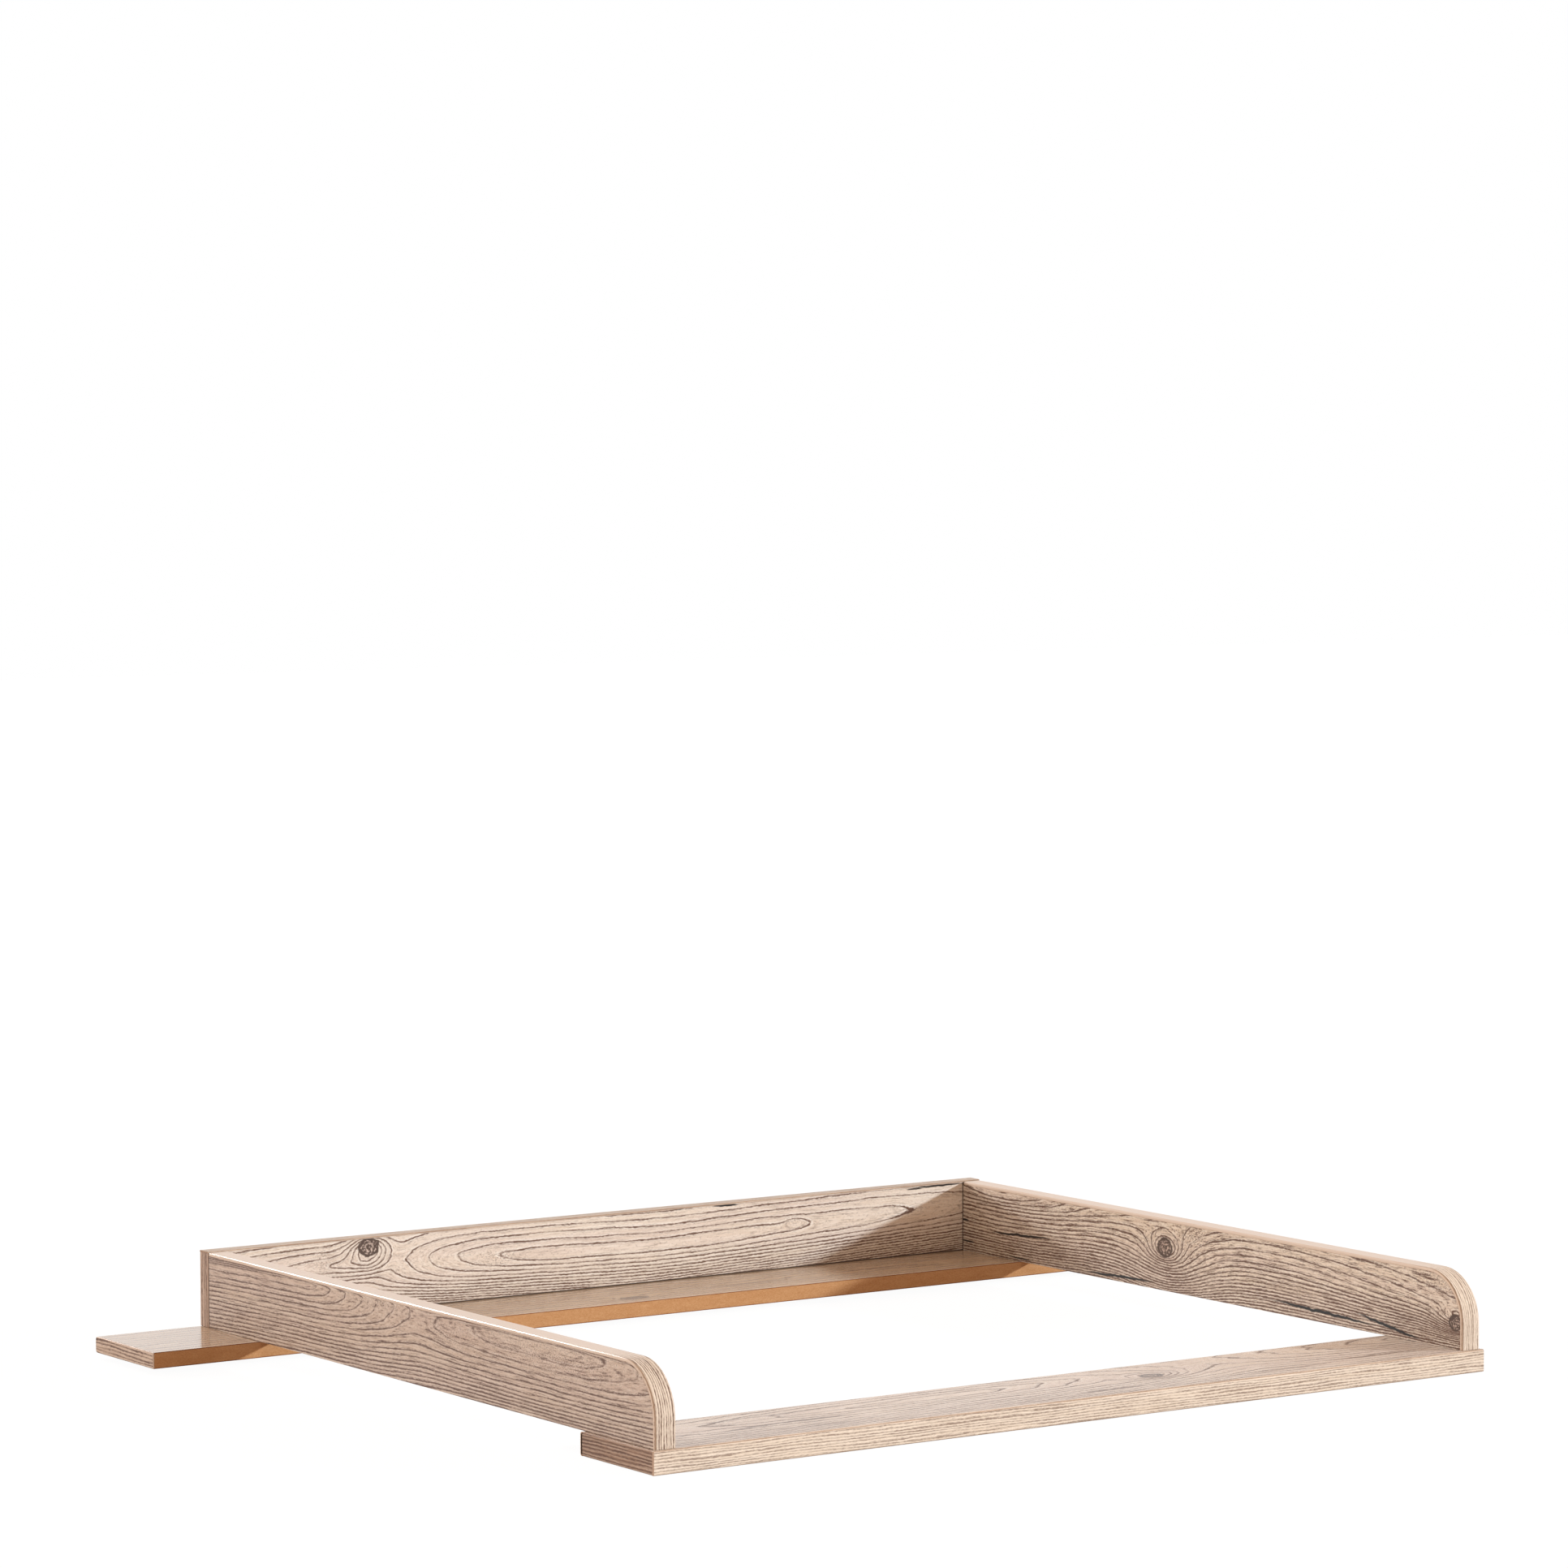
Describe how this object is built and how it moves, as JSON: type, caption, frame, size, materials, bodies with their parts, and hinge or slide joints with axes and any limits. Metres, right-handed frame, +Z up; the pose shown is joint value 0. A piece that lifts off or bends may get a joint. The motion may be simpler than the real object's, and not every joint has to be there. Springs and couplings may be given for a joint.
{
  "type": "changing top",
  "caption": "Three-sided wooden frame, open at the front, on a front board and a longer rear board. It stands on a dresser and holds a changing mat.",
  "frame": {"origin": "on the ground, under the middle of the bounding box", "axes": "+X to the right along the front board, +Y to the back rail, +Z up"},
  "size_m": [1.184, 0.8464, 0.0983],
  "materials": {
    "decor_board": "satin light oak decor foil on fibreboard",
    "edge_band": "satin printed edge band",
    "zinc_screw": "zinc plated",
    "beech_dowel": "raw fluted beech"
  },
  "bodies": {
    "root": {"left_rail": "decor_board", "right_rail": "decor_board", "back_rail": "decor_board", "front_board": "decor_board", "rear_board": "decor_board", "left_rail_band": "edge_band", "right_rail_band": "edge_band", "back_rail_band_top": "edge_band", "back_rail_band_left": "edge_band", "back_rail_band_right": "edge_band", "front_board_band_front": "edge_band", "front_board_band_back": "edge_band", "front_board_band_left": "edge_band", "front_board_band_right": "edge_band", "rear_board_band_back": "edge_band", "rear_board_band_left": "edge_band", "rear_board_band_right": "edge_band", "screw_front_left_fore": "zinc_screw", "screw_front_left_aft": "zinc_screw", "screw_front_right_fore": "zinc_screw", "screw_front_right_aft": "zinc_screw", "screw_rear_left": "zinc_screw", "screw_rear_right": "zinc_screw", "screw_back_left_low": "zinc_screw", "screw_back_left_high": "zinc_screw", "screw_back_right_low": "zinc_screw", "screw_back_right_high": "zinc_screw", "screw_long_joint_1": "zinc_screw", "screw_long_joint_2": "zinc_screw", "screw_long_joint_3": "zinc_screw", "dowel_front_left": "beech_dowel", "dowel_front_right": "beech_dowel", "dowel_rear_left": "beech_dowel", "dowel_rear_right": "beech_dowel", "dowel_back_left": "beech_dowel", "dowel_back_right": "beech_dowel", "dowel_long_joint_1": "beech_dowel", "dowel_long_joint_2": "beech_dowel"}
  },
  "joints": []
}
